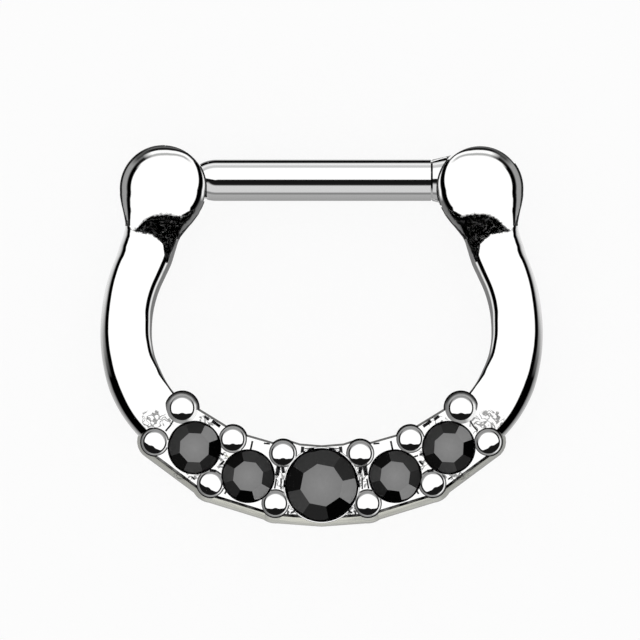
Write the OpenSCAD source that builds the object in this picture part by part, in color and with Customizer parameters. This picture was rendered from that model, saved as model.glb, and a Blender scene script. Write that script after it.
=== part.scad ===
// Clicker ring: a cast steel ring with five black stones in front, closed by a hinged bar.
// It lies on its back: X runs to the right, Y up the ring, Z out of the front.

/* [Ring] */
// Radius of the centre line of the two arms, in mm
arm_path_radius = 6.79; // [6.76:0.01:6.82]
// Thickness of the round arms, in mm
arm_thickness = 1.82; // [1.76:0.02:1.86]
// Diameter of the two end balls, in mm
ball_diameter = 3.02; // [2.96:0.02:3.08]

/* [Setting] */
// Height of the front face of the setting above its flat back, in mm
plate_height = 2.3; // [2.2:0.05:2.4]
// Height at which the outer wall starts to slope inwards, in mm
wall_height = 1.2; // [1:0.1:1.4]
// Radius of a bead prong, in mm
bead_radius = 0.438; // [0.42:0.01:0.45]
// Height of the middle of a bead above the front face, in mm
bead_lift = 0.12; // [0.08:0.02:0.16]
// Height of the rim round the middle stone above the front face, in mm
rim_lift = 0.08; // [0.04:0.02:0.1]

/* [Stones] */
// Radius of the four side stones, in mm
side_stone_radius = 0.9; // [0.86:0.01:0.91]
// Radius of the middle stone, in mm
middle_stone_radius = 1.25; // [1.2:0.01:1.27]
// Room left between a stone and its seat, in mm
seat_gap = 0.02; // [0.02:0.01:0.03]
// Size of the flat table against the whole stone
table_share = 0.6; // [0.5:0.05:0.65]

/* [Bar] */
// Thickness of the round bar, in mm
bar_thickness = 1.43; // [1.39:0.01:1.45]
// Thickness of the flat lug and of the flat tongue, in mm
flat_thickness = 0.64; // [0.6:0.02:0.8]
// Room on each side of the lug and the tongue in their slots, in mm
slot_gap = 0.04; // [0.03:0.01:0.05]
// Radius of the hinge pin, in mm
pin_radius = 0.35; // [0.3:0.01:0.38]
// Room between the pin and the hole through the lug, in mm
pin_play = 0.03; // [0.02:0.01:0.04]
// Room between the pin and the ball that holds it, in mm
pin_seat_gap = 0.015; // [0.01:0.005:0.02]

/* [Colours] */
// Colour of the steel
steel_colour = "Silver"; // [Silver, Gainsboro, LightGray]
// Colour of the stones
stone_colour = "Black"; // [Black, DimGray, DarkSlateGray]

/* [Hidden] */
$fn = 64;

// The middle plane of the balls, the arms and the bar
ball_radius = ball_diameter / 2;
mid = ball_radius;
arm_radius = arm_thickness / 2;
bar_radius = bar_thickness / 2;
// The middle of the arms' circle, and the right ball with the hinge
ring_centre = [0, 0.07];
hinge = [5.51, 5.13];
// The bar runs a little above the middle of the balls
bar_rise = 0.285;
bar_y = hinge[1] + bar_rise;
shank_end = 3.83;
shank_start = -3.95;
shank_taper = 0.27;
taper_step = 0.09;
tongue_tip = -5.35;
tongue_tip_gap = 0.1;
knuckle_radius = 1;
knuckle_gap = 0.05;
// The pin stands flush with the back of the right ball and ends blind inside its front
pin_back = 0.05;
pin_front = 2.5;
pin_end_gap = 0.02;
// An arm runs from its neck to arm_turn on the big circle, then on a tighter one into the setting
arm_top = 32;
neck_root = 29.5;
arm_turn = -8;
arm_foot = -55;
turn_radius = 3.5;
bend_overlap = 1.5;
bend_inset = 0.01;
overlap = 0.02;
// Right-hand bead prongs and stones, from the arm to the middle; the left side mirrors them
inner_beads = [[4.86, -2.49], [3.08, -3.57], [1.34, -4.07]];
outer_beads = [[5.78, -3.67], [3.84, -5.11], [1.6, -5.8]];
stones = [[-4.41, -3.87], [-2.55, -4.86], [0, -5.165], [2.55, -4.86], [4.41, -3.87]];
stone_turns = [20, 12, 9, 11, 18];
// Half widths of the front plate and of its wider foot round the beads
inner_scallop = 0.49;
inner_edge = 0.25;
outer_scallop = 0.5;
outer_edge = 0.44;
outer_foot = [0.62, 0.7, 0.73];
run_foot = [0.62, 0.68, 0.72];
lowest_run = [0, -5.92];
inner_middle = [0.75, -3.76];
inner_lowest = [0, -3.82];
shoulder_top = [5.96, -2.1];
shoulder_foot = [5, -2.46];
shoulder_radius = 0.8;
// The arm swells a little between these two turns, towards its neck
swell_start = 11;
swell_end = 32.5;
swell_extra = 0.03;
swell_inset = 0.02;
cut_edge = 0.12;
collar_radius = 0.47;
collar_lift = 0.04;
rim_radius = 1.37;
rim_slope_radius = 1.28;
foot_circle = [0, -5.2];
foot_radius = 1.44;
// Small pits between the stones and the beads
pits = [[4.04, -2.93], [3.5, -4.42], [1.52, -4.75], [1.98, -3.86]];
pit_mouth = 0.15;
pit_floor = 0.04;
pit_depth = 0.2;
// A cut stone: girdle, crown and point as shares of its radius
girdle_share = 0.1;
crown_share = 0.3;
point_share = 0.75;
point_radius = 0.02;
girdle_drop = 0.04;
seat_point = 0.1;
bore_above = 2;

function along(centre, radius, angle) = centre + radius * [cos(angle), sin(angle)];
// A step of inner_edge towards the middle of the ring, square to the line between two inner beads
function inner_step(from, to) = inner_edge * [to[1] - from[1], from[0] - to[0]] / norm(to - from);

// One arm on the right: the big bend, the tighter bend into the setting and the shoulder
module arm() {
  turn_centre = along(ring_centre, arm_path_radius - turn_radius, arm_turn);
  translate([ring_centre[0], ring_centre[1], mid])
    rotate([0, 0, arm_turn - bend_overlap])
      rotate_extrude(angle = arm_top - arm_turn + bend_overlap)
        translate([arm_path_radius, 0])
          circle(arm_radius);
  translate([turn_centre[0], turn_centre[1], mid])
    rotate([0, 0, arm_foot])
      rotate_extrude(angle = arm_turn - arm_foot)
        translate([turn_radius, 0])
          circle(arm_radius - bend_inset);
}

// The shoulder fills the corner between the arm and the first inner bead
module shoulder() {
  lean = shoulder_foot - shoulder_top;
  translate([shoulder_top[0], shoulder_top[1], mid])
    rotate([0, 0, atan2(lean[1], lean[0])])
      rotate([0, 90, 0])
        cylinder(h = norm(lean), r1 = shoulder_radius, r2 = inner_scallop);
}

// The arm grows a little thicker on its inner side below the neck
module swell() {
  start = along(ring_centre, arm_path_radius, swell_start);
  end = along(ring_centre, arm_path_radius - swell_inset, swell_end);
  lean = end - start;
  translate([start[0], start[1], mid])
    rotate([0, 0, atan2(lean[1], lean[0])])
      rotate([0, 90, 0])
        cylinder(h = norm(lean), r1 = arm_radius - swell_extra, r2 = arm_radius + swell_extra);
}

// The neck flares from the arm into the ball, as a turned piece about the line between them
module neck() {
  root = along(ring_centre, arm_path_radius, neck_root);
  lean = root - hinge;
  reach = norm(lean);
  translate([hinge[0], hinge[1], mid])
    rotate([0, 0, atan2(lean[1], lean[0])])
      rotate([0, 90, 0])
        rotate_extrude()
          polygon([
            [0, 0.5],
            [1.3, 0.7],
            [1.25, 0.92],
            [1.17, 1.1],
            [1.07, 1.28],
            [1, 1.46],
            [arm_radius + 0.02, 1.64],
            [arm_radius - 0.06, reach + 0.08],
            [0, reach + 0.08]
          ]);
}

// The outer wall between two beads: straight foot, sloping wall, bright-cut front edge
module outer_run(from, to, foot) {
  lean = to - from;
  translate([from[0], from[1], 0])
    rotate([0, 0, atan2(lean[1], lean[0])])
      rotate([90, 0, 90])
        linear_extrude(norm(lean))
          polygon([
            [-0.1, 0],
            [foot, 0],
            [foot, wall_height],
            [outer_edge, plate_height - cut_edge],
            [outer_edge - cut_edge, plate_height],
            [-0.1, plate_height]
          ]);
}

module bead(place) {
  translate([place[0], place[1], plate_height - overlap])
    cylinder(h = collar_lift + overlap, r = collar_radius);
  translate([place[0], place[1], plate_height + bead_lift])
    sphere(bead_radius);
}

// One half of the setting plate, with its beads
module setting_half() {
  first_step = inner_step(inner_beads[0], inner_beads[1]);
  second_step = inner_step(inner_beads[1], inner_beads[2]);
  linear_extrude(plate_height)
    polygon([
      inner_beads[0],
      outer_beads[0],
      outer_beads[1],
      outer_beads[2],
      [0, outer_beads[2][1]],
      inner_lowest,
      inner_middle,
      inner_beads[2] + second_step,
      inner_beads[1] + (first_step + second_step) / 2,
      inner_beads[0] + first_step
    ]);
  for (place = inner_beads) {
    translate([place[0], place[1], 0])
      cylinder(h = plate_height, r = inner_scallop);
    bead(place);
  }
  for (i = [0:2]) {
    translate([outer_beads[i][0], outer_beads[i][1], 0])
      cylinder(h = wall_height, r = outer_foot[i]);
    translate([outer_beads[i][0], outer_beads[i][1], wall_height])
      cylinder(h = plate_height - wall_height, r1 = outer_foot[i], r2 = outer_scallop);
    bead(outer_beads[i]);
  }
  for (i = [0:1])
    outer_run(outer_beads[i], outer_beads[i + 1], run_foot[i]);
  outer_run(outer_beads[2], lowest_run, run_foot[2]);
}

// The wall and the raised rim round the middle stone
module middle_seat_wall() {
  translate([stones[2][0], stones[2][1], 0])
    cylinder(h = plate_height + rim_lift, r = rim_radius);
  translate([foot_circle[0], foot_circle[1], 0])
    cylinder(h = wall_height, r = foot_radius);
  translate([foot_circle[0], foot_circle[1], wall_height])
    cylinder(h = plate_height - wall_height, r1 = foot_radius, r2 = rim_slope_radius);
}

function stone_radius(i) = i == 2 ? middle_stone_radius : side_stone_radius;
function girdle_level(i) = plate_height + (i == 2 ? rim_lift : 0) - girdle_drop;

// A cut stone: round girdle, crown of eight facets with a table, and a point below
module cut_stone(i) {
  r = stone_radius(i);
  apothem = cos(180 / 8);
  translate([stones[i][0], stones[i][1], girdle_level(i)])
    rotate([0, 0, stone_turns[i]]) {
      intersection() {
        translate([0, 0, -girdle_share * r])
          cylinder(h = (girdle_share + crown_share) * r, r = r);
        translate([0, 0, -girdle_share * r])
          cylinder(
            h = (girdle_share + crown_share) * r,
            r1 = (1 / apothem) * r * (1 + girdle_share / crown_share * (1 - table_share * apothem)),
            r2 = table_share * r,
            $fn = 8
          );
      }
      translate([0, 0, -(girdle_share + point_share) * r])
        cylinder(h = point_share * r, r1 = point_radius, r2 = r - seat_gap / 2, $fn = 8);
    }
}

// The room for a stone: a round well over a cone
module seat(i) {
  r = stone_radius(i) + seat_gap;
  level = girdle_level(i) - girdle_share * stone_radius(i) - seat_gap;
  depth = point_share * stone_radius(i) + seat_point;
  translate([stones[i][0], stones[i][1], level]) {
    cylinder(h = bore_above, r = r);
    translate([0, 0, -depth])
      cylinder(h = depth + overlap / 10, r1 = seat_point + point_radius, r2 = r);
  }
}

// Slot in the right ball: room for the knuckle and for the whole sweep of the lug
module hinge_slot() {
  sweep_start = 36;
  sweep_end = 206;
  reach = 2;
  translate([hinge[0], hinge[1], mid - flat_thickness / 2 - slot_gap])
    linear_extrude(flat_thickness + 2 * slot_gap) {
      circle(knuckle_radius + knuckle_gap);
      polygon([
        [0, 0],
        reach * [cos(sweep_start), sin(sweep_start)],
        reach * [cos(75), sin(75)],
        reach * [cos(120), sin(120)],
        reach * [cos(165), sin(165)],
        reach * [cos(sweep_end), sin(sweep_end)]
      ]);
    }
}

// Slot in the left ball: open above and towards the bar
module tongue_slot() {
  translate([0, 0, mid - flat_thickness / 2 - slot_gap])
    linear_extrude(flat_thickness + 2 * slot_gap)
      polygon([
        [tongue_tip - tongue_tip_gap, bar_y + 2],
        [tongue_tip - tongue_tip_gap, bar_y - 0.5],
        [-4.62, bar_y - 0.55],
        [-4.2, bar_y - 0.72],
        [-3.6, bar_y - 0.8],
        [-3.6, bar_y + 2]
      ]);
}

module pin_bore() {
  translate([hinge[0], hinge[1], -mid])
    cylinder(h = mid + pin_front + pin_end_gap, r = pin_radius + pin_seat_gap);
}

module ring_body() {
  color(steel_colour)
    difference() {
      union() {
        for (side = [0, 1])
          mirror([side, 0, 0]) {
            translate([hinge[0], hinge[1], mid])
              sphere(ball_radius);
            neck();
            swell();
            arm();
            shoulder();
            setting_half();
          }
        middle_seat_wall();
      }
      for (i = [0:4])
        seat(i);
      for (side = [0, 1], place = pits)
        mirror([side, 0, 0])
          translate([place[0], place[1], plate_height - pit_depth])
            cylinder(h = pit_depth + 0.01, r1 = pit_floor, r2 = pit_mouth);
      hinge_slot();
      tongue_slot();
      pin_bore();
    }
}

// The flat tongue that snaps into the left ball, inside the thickness of the bar
module tongue() {
  intersection() {
    translate([tongue_tip, bar_y, mid])
      rotate([0, 90, 0])
        cylinder(h = shank_start + shank_taper - tongue_tip, r = bar_radius);
    translate([0, bar_y, mid - flat_thickness / 2])
      linear_extrude(flat_thickness)
        polygon([
          [shank_start + shank_taper, 0.6],
          [shank_start, 0.62],
          [-4.2, 0.5],
          [-4.6, 0.44],
          [tongue_tip + 0.12, 0.42],
          [tongue_tip, 0.3],
          [tongue_tip, -0.3],
          [tongue_tip + 0.12, -0.42],
          [-4.6, -0.45],
          [-4.2, -0.6],
          [shank_start, -0.64],
          [shank_start + shank_taper, -0.6]
        ]);
  }
}

// The flat lug round the hinge pin, a little wider than the bar where it leaves the ball
module lug() {
  translate([hinge[0], hinge[1], mid - flat_thickness / 2])
    linear_extrude(flat_thickness) {
      circle(knuckle_radius);
      polygon([
        [0, 0],
        [-1.19, 1.11],
        [-1.7, 0.96],
        [-1.95, 0.8],
        [-1.95, -0.2],
        [-1.72, -0.47],
        [-1.47, -0.55]
      ]);
    }
}

module bar() {
  color(steel_colour)
    difference() {
      union() {
        translate([shank_start + shank_taper, bar_y, mid])
          rotate([0, 90, 0])
            cylinder(h = shank_end - shank_start - shank_taper, r = bar_radius);
        translate([shank_start, bar_y, mid])
          rotate([0, 90, 0])
            cylinder(h = shank_taper, r1 = bar_radius - taper_step, r2 = bar_radius);
        tongue();
        lug();
      }
      translate([hinge[0], hinge[1], 0])
        cylinder(h = 2 * mid, r = pin_radius + pin_play);
    }
}

module hinge_pin() {
  color(steel_colour)
    translate([hinge[0], hinge[1], pin_back])
      cylinder(h = pin_front - pin_back, r = pin_radius);
}

module stone(i) {
  color(stone_colour)
    cut_stone(i);
}

module stone_1() { stone(0); }
module stone_2() { stone(1); }
module stone_3() { stone(2); }
module stone_4() { stone(3); }
module stone_5() { stone(4); }

ring_body();
bar();
hinge_pin();
stone_1();
stone_2();
stone_3();
stone_4();
stone_5();
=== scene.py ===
import math

import bmesh
import bpy
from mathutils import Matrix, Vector


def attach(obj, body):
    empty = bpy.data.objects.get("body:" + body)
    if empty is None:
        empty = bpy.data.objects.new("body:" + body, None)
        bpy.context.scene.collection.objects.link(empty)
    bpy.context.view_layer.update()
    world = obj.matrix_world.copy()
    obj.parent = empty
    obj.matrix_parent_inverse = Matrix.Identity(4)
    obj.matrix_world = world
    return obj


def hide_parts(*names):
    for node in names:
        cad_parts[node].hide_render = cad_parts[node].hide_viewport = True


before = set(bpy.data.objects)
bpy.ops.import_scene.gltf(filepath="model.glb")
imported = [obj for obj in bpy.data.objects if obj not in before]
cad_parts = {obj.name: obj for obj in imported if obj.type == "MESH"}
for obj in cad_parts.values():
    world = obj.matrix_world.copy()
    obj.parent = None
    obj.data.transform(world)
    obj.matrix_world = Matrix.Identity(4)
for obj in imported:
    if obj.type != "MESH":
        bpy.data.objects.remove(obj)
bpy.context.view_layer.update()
mm = 0.001
touching = 0.0005 * mm            # corners nearer than this are one corner
print("frame loaded")


# small tools for the bench

def only(obj):
    bpy.ops.object.select_all(action="DESELECT")
    obj.select_set(True)
    bpy.context.view_layer.objects.active = obj


def edit(obj):
    only(obj)
    bpy.ops.object.mode_set(mode="EDIT")
    bpy.ops.mesh.select_mode(type="VERT")


def leaveEdit():
    bpy.ops.object.mode_set(mode="OBJECT")


def settle(obj):
    only(obj)
    bpy.ops.object.transform_apply(location=True, rotation=True, scale=True)


def point(x, y, z):
    return Vector((x * mm, y * mm, z * mm))


def turnBy(angle, axis, centre):
    # without a window the rotate tool turns the other way
    bpy.ops.transform.rotate(value=-angle, orient_axis=axis, center_override=centre)


def arcPoints(centre, radius, first, last, steps):
    # points along an arc between two angles in degrees, both ends included
    angles = [math.radians(first + (last - first) * i / steps) for i in range(steps + 1)]
    return [(centre[0] + radius * math.cos(a), centre[1] + radius * math.sin(a)) for a in angles]


def drawLine(points):
    # a line of single vertices, drawn in the piece that is being edited
    bpy.ops.mesh.primitive_plane_add(size=0.01 * mm, location=points[0])
    bpy.ops.mesh.merge(type="CENTER")
    for start, end in zip(points, points[1:]):
        bpy.ops.mesh.extrude_region_move(TRANSFORM_OT_translate={"value": end - start})


def newPiece(name):
    # an empty piece in edit mode, for lines to be drawn in
    bpy.ops.object.select_all(action="DESELECT")
    bpy.ops.mesh.primitive_plane_add(size=mm, location=(0, 0, 0))
    obj = bpy.context.object
    obj.name = obj.data.name = name
    bpy.ops.object.mode_set(mode="EDIT")
    bpy.ops.mesh.select_mode(type="VERT")
    bpy.ops.mesh.select_all(action="SELECT")
    bpy.ops.mesh.delete(type="VERT")
    return obj


def pick(obj, test):
    # selects the vertices that pass the test, and nothing else
    bpy.ops.mesh.select_all(action="DESELECT")
    mesh = bmesh.from_edit_mesh(obj.data)
    for v in mesh.verts:
        if test(v.co):
            v.select = True
    mesh.select_flush(True)
    bmesh.update_edit_mesh(obj.data)


def atLevel(*levels):
    # a test for pick: the corner lies at one of these heights in mm
    return lambda co: min(abs(co.z - level * mm) for level in levels) < 0.01 * mm


def cleanUp(obj, smoothAngle):
    # merges what touches, turns the faces outwards and shades what bends less than the angle as smooth
    edit(obj)
    bpy.ops.mesh.select_all(action="SELECT")
    bpy.ops.mesh.remove_doubles(threshold=touching)
    bpy.ops.mesh.normals_make_consistent(inside=False)
    leaveEdit()
    only(obj)
    bpy.ops.object.shade_smooth_by_angle(angle=math.radians(smoothAngle))


def turned(name, profile, centre, steps, smoothAngle=35):
    # a piece turned on the lathe round an upright line: profile is a list of (radius, height) in mm
    obj = newPiece(name)
    drawLine([point(centre[0] + r, centre[1], z) for r, z in profile])
    bpy.ops.mesh.select_all(action="SELECT")
    bpy.ops.mesh.spin(steps=steps, angle=math.tau, center=point(*centre, 0), axis=(0, 0, 1))
    leaveEdit()
    cleanUp(obj, smoothAngle)
    return obj


def combine(obj, tool, operation):
    # shapes the piece with a tool, which is used up
    only(obj)
    boolean = obj.modifiers.new("combine", "BOOLEAN")
    boolean.operation = operation
    boolean.solver = "EXACT"
    boolean.object = tool
    bpy.ops.object.modifier_apply(modifier="combine")
    bpy.data.objects.remove(tool)


def cut(obj, tool):
    combine(obj, tool, "DIFFERENCE")


def weld(obj, tool):
    combine(obj, tool, "UNION")


def copyTo(obj, name, shift=(0, 0, 0), turn=0.0, size=(1, 1, 1)):
    # a copy with its own mesh, sized, turned in degrees and moved
    only(obj)
    bpy.ops.object.duplicate(linked=False)
    new = bpy.context.object
    new.name = new.data.name = name
    new.rotation_euler = (0, 0, math.radians(turn))
    new.scale = size
    new.location = shift
    settle(new)
    return new


def mirrored(obj, name):
    # the same piece on the other side of the ring
    new = copyTo(obj, name, size=(-1, 1, 1))
    edit(new)
    bpy.ops.mesh.select_all(action="SELECT")
    bpy.ops.mesh.normals_make_consistent(inside=False)
    leaveEdit()
    return new


# bands and finishes

def fill(tree, node, inputs):
    # each input gets a number, a colour or another node's output
    for name, value in inputs.items():
        if isinstance(value, bpy.types.NodeSocket):
            tree.links.new(value, node.inputs[name])
        else:
            node.inputs[name].default_value = value


def add(tree, kind, inputs, operation=None):
    # the first output of a new node
    node = tree.nodes.new("ShaderNode" + kind)
    if operation:
        node.operation = operation
    fill(tree, node, inputs)
    return node.outputs[0]


def ownPlace(tree):
    # where on its piece a point lies, in metres
    return tree.nodes.new("ShaderNodeTexCoord").outputs["Object"]


def axesOf(tree, vector):
    node = tree.nodes.new("ShaderNodeSeparateXYZ")
    fill(tree, node, {0: vector})
    return node.outputs


def mathNode(tree, operation, *values):
    # values are numbers or outputs
    return add(tree, "Math", dict(enumerate(values)), operation)


def fade(tree, source, start, end):
    # 0 at start and 1 at end
    return add(tree, "MapRange", {"Value": source, "From Min": start, "From Max": end})


def shadeBand(tree, source, low, high, stops):
    # a ramp over a value: stops is a list of (place between low and high, shade)
    ramp = tree.nodes.new("ShaderNodeValToRGB")
    elements = ramp.color_ramp.elements
    while len(elements) < len(stops):
        elements.new(0.5)
    for element, (place, shade) in zip(elements, stops):
        element.position = (place - low) / (high - low)
        element.color = (shade, shade, shade, 1)
    fill(tree, ramp, {"Fac": fade(tree, source, low, high)})
    return ramp.outputs["Color"]


def blend(tree, share, first, second):
    # the first colour where the share is 0, the second where it is 1
    mix = tree.nodes.new("ShaderNodeMix")
    mix.data_type = "RGBA"
    fill(tree, mix, {0: share, 6: first, 7: second})
    return mix.outputs[2]


def fillSurface(material, inputs):
    fill(material.node_tree, material.node_tree.nodes["Principled BSDF"], inputs)


def newFinish(name, inputs):
    # a material whose surface has these inputs
    material = bpy.data.materials.new(name)
    material.use_nodes = True
    fillSurface(material, inputs)
    return material


polish = {
    "inputs": {"Grain Size": 900.0, "Roughness Low": 0.02, "Roughness High": 0.06, "Relief": 0.02},
    "detail": 3,
    "softness": 0.6,
    "spread": (0.35, 0.7),        # part of the noise that the roughness follows
    "relief": 0.01,               # mm
}


def polishGroup():
    # fine polishing haze: a roughness that varies and a very slight relief
    group = bpy.data.node_groups.new("polishHaze", "ShaderNodeTree")
    face = group.interface
    for name, value in polish["inputs"].items():
        face.new_socket(name=name, in_out="INPUT", socket_type="NodeSocketFloat").default_value = value
    face.new_socket(name="Roughness", in_out="OUTPUT", socket_type="NodeSocketFloat")
    face.new_socket(name="Mask", in_out="OUTPUT", socket_type="NodeSocketFloat")
    face.new_socket(name="Normal", in_out="OUTPUT", socket_type="NodeSocketVector")
    enter = group.nodes.new("NodeGroupInput").outputs
    haze = add(group, "TexNoise", {
        "Vector": ownPlace(group), "Scale": enter["Grain Size"], "Detail": polish["detail"],
        "Roughness": polish["softness"]})
    start, end = polish["spread"]
    rough = add(group, "MapRange", {
        "Value": haze, "From Min": start, "From Max": end, "To Min": enter["Roughness Low"],
        "To Max": enter["Roughness High"]})
    normal = add(group, "Bump", {
        "Distance": polish["relief"] * mm, "Strength": enter["Relief"], "Height": haze})
    fill(group, group.nodes.new("NodeGroupOutput"), {"Roughness": rough, "Mask": haze, "Normal": normal})
    return group


polishHaze = polishGroup()


def steelFinish(name, colour, low, high, relief):
    # a polished or dull steel: colour, lowest and highest roughness, strength of the relief
    material = newFinish(name, {"Base Color": (*colour, 1), "Metallic": 1})
    haze = material.node_tree.nodes.new("ShaderNodeGroup")
    haze.node_tree = polishHaze
    fill(material.node_tree, haze, {"Roughness Low": low, "Roughness High": high, "Relief": relief})
    fillSurface(material, {"Roughness": haze.outputs["Roughness"], "Normal": haze.outputs["Normal"]})
    return material


castSkin = {
    # the unpolished skin in the hollow below each ball, rough casting skin darkened to near black by painted
    # shade, in mm from the middle of the ball:
    # (towards the middle of the ring, upper edge, lower edge)
    "edges": [(-1.22, -1.36, -1.42), (-1.05, -1.42, -1.49), (-0.86, -1.3, -1.55), (-0.76, -1.19, -1.58),
              (-0.58, -1.03, -1.6), (-0.39, -0.92, -1.63), (-0.18, -0.88, -1.77), (0, -0.86, -1.97),
              (0.1, -0.85, -2.6), (0.17, -0.86, -2.6), (0.27, -0.87, -2.3), (0.34, -0.88, -2.15),
              (0.44, -0.9, -1.9), (0.65, -0.94, -1.38), (0.84, -0.92, -1.17), (0.96, -0.8, -1.04),
              (1.15, -0.6, -0.8)],
    "deepest": 3.0,               # no edge lies lower than this, mm
    "wander": 0.09,               # how far its edges stray, mm
    "soft": (0.08, 0.04),         # widths of the upper and lower edges
    "softEnds": (0.04, 0.1),      # and of the ends
    "dull": 0.35,                 # roughness that it adds
    "grain": 8000,
    "detail": 3,
    # near-black shades: painted shade in the hollow, with the grain of the skin
    "shades": [(0, 0.001), (0.45, 0.003), (0.54, 0.01), (0.62, 0.04), (0.7, 0.1), (1, 0.2)],
}
castMarks = {
    # patches of dark wormy lines: casting marks with painted shade between beads and stones
    # middle and half widths of each patch on the right side, mm; the left side mirrors them
    "patches": [(5.83, -2.9, 0.52, 0.34), (5.3, -3.1, 0.18, 0.3), (4.0, -2.95, 0.4, 0.2),
                (3.45, -4.32, 0.24, 0.34), (1.42, -4.75, 0.2, 0.6), (4.7, -4.85, 0.5, 0.16),
                (0.9, -6.1, 0.4, 0.2)],
    "edge": (1.1, 0.8),           # they fade out between these shares of the patch, squared
    "grain": 3900,
    "detail": 0.6,
    "distortion": 1.2,
    "worm": [(0, 0), (0.38, 0), (0.43, 1), (0.51, 1), (0.56, 0), (1, 0)],
    "line": 0.3,                  # shade of the lines
}


def marksGroup():
    # wormy casting marks round the beads, with painted shade: patches of dark lines between the beads and
    # stones
    group = bpy.data.node_groups.new("castMarks", "ShaderNodeTree")
    line = group.interface.new_socket(name="Line Shade", in_out="INPUT", socket_type="NodeSocketFloat")
    line.default_value = castMarks["line"]
    group.interface.new_socket(name="Shade", in_out="OUTPUT", socket_type="NodeSocketFloat")
    enter = group.nodes.new("NodeGroupInput").outputs
    place = ownPlace(group)
    axes = axesOf(group, place)
    outward = mathNode(group, "ABSOLUTE", axes["X"])
    reach = None
    for x, y, width, height in castMarks["patches"]:
        across = mathNode(group, "MULTIPLY_ADD", outward, 1 / (width * mm), -x / width)
        along = mathNode(group, "MULTIPLY_ADD", axes["Y"], 1 / (height * mm), -y / height)
        across, along = (mathNode(group, "POWER", share, 2) for share in (across, along))
        near = fade(group, mathNode(group, "ADD", across, along), *castMarks["edge"])
        reach = mathNode(group, "MAXIMUM", reach, near) if reach else near
    worm = add(group, "TexNoise", {
        "Vector": place, "Scale": castMarks["grain"], "Detail": castMarks["detail"],
        "Distortion": castMarks["distortion"]})
    marked = mathNode(group, "MULTIPLY", shadeBand(group, worm, 0, 1, castMarks["worm"]), reach)
    darker = mathNode(group, "MULTIPLY", marked, mathNode(group, "SUBTRACT", 1, enter["Line Shade"]))
    shade = mathNode(group, "SUBTRACT", 1, darker)
    fill(group, group.nodes.new("NodeGroupOutput"), {"Shade": shade})
    return group


castMarksGroup = marksGroup()


def markSteel(material):
    # the marks and their painted shade darken the colour of a steel
    tree = material.node_tree
    marks = tree.nodes.new("ShaderNodeGroup")
    marks.node_tree = castMarksGroup
    colour = tree.nodes["Principled BSDF"].inputs["Base Color"].default_value[:3]
    tint = add(tree, "VectorMath", {0: colour, "Scale": marks.outputs["Shade"]}, "SCALE")
    fillSurface(material, {"Base Color": tint})
    return tint


def skinSteel(material, colour):
    # the rough casting skin in the hollow between ball and arm, darkened to near black by painted shade,
    # laid over the colour
    tree = material.node_tree
    place = ownPlace(tree)
    axes = axesOf(tree, place)
    grain = add(tree, "TexNoise", {
        "Vector": place, "Scale": castSkin["grain"], "Detail": castSkin["detail"]})
    bx, by = arm["ball"]
    side = mathNode(tree, "MULTIPLY_ADD", mathNode(tree, "ABSOLUTE", axes["X"]), -1 / mm, bx)
    along = mathNode(tree, "MULTIPLY_ADD", axes["Y"], 1 / mm, -by)
    wander = castSkin["wander"]
    stray = mathNode(tree, "MULTIPLY_ADD", grain, wander * 2, -wander)
    along = mathNode(tree, "ADD", along, stray)
    first, last = castSkin["edges"][0][0], castSkin["edges"][-1][0]
    edges = []
    for column in (1, 2):
        stops = [(row[0], 1 + row[column] / castSkin["deepest"]) for row in castSkin["edges"]]
        curve = shadeBand(tree, side, first, last, stops)
        edges.append(mathNode(tree, "MULTIPLY_ADD", curve, castSkin["deepest"], -castSkin["deepest"]))
    upper, lower = edges
    softUpper, softLower = castSkin["soft"]
    softFirst, softLast = castSkin["softEnds"]
    mask = fade(tree, mathNode(tree, "SUBTRACT", upper, along), 0, softUpper)
    for border in (fade(tree, mathNode(tree, "SUBTRACT", along, lower), 0, softLower),
                   fade(tree, side, last, last - softLast),
                   fade(tree, side, first, first + softFirst)):
        mask = mathNode(tree, "MULTIPLY", mask, border)
    # the skin's near-black colour is painted shade in the hollow
    skin = shadeBand(tree, grain, 0, 1, castSkin["shades"])
    polished = tree.nodes["Principled BSDF"].inputs["Roughness"].links[0].from_socket
    rougher = mathNode(tree, "MULTIPLY_ADD", mask, castSkin["dull"], polished)
    fillSurface(material, {"Base Color": blend(tree, mask, colour, skin), "Roughness": rougher})


castWall = {
    "below": (2.28, 2.16),        # the cast wall lies below these heights, mm
    "grain": 5200,
    "detail": 3,
    "stretch": (0.07, 0.14, 1),   # long streaks round the wall
    "shades": [(0, 0.6), (0.36, 0.66), (0.44, 1), (0.54, 0.8), (0.62, 1), (0.7, 0.75), (1, 0.65)],
    "tint": (1, 1, 0.88),
}


def wallSteel(material, colour):
    # the outer wall of the setting keeps the greenish, streaky look of the casting
    tree = material.node_tree
    place = ownPlace(tree)
    drawnOut = add(tree, "Mapping", {"Vector": place, "Scale": castWall["stretch"]})
    streak = add(tree, "TexNoise", {
        "Vector": drawnOut, "Scale": castWall["grain"], "Detail": castWall["detail"]})
    shade = shadeBand(tree, streak, 0, 1, castWall["shades"])
    tint = add(tree, "VectorMath", {0: shade, 1: castWall["tint"]}, "MULTIPLY")
    below = add(tree, "VectorMath", {0: tint, 1: colour}, "MULTIPLY")
    high, low = (level * mm for level in castWall["below"])
    wall = fade(tree, axesOf(tree, place)["Z"], high, low)
    fillSurface(material, {"Base Color": blend(tree, wall, colour, below)})


ringSteel = steelFinish("ringSteel", (0.97, 0.97, 0.965), 0.015, 0.05, 0.02)
settingSteel = steelFinish("settingSteel", (0.97, 0.97, 0.965), 0.015, 0.05, 0.6)
barSteel = steelFinish("barSteel", (0.96, 0.96, 0.96), 0.015, 0.05, 0.02)
beadSteel = steelFinish("beadSteel", (0.97, 0.97, 0.97), 0.01, 0.04, 0.01)
pinSteel = steelFinish("pinSteel", (0.8, 0.8, 0.8), 0.15, 0.3, 0.1)
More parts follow.
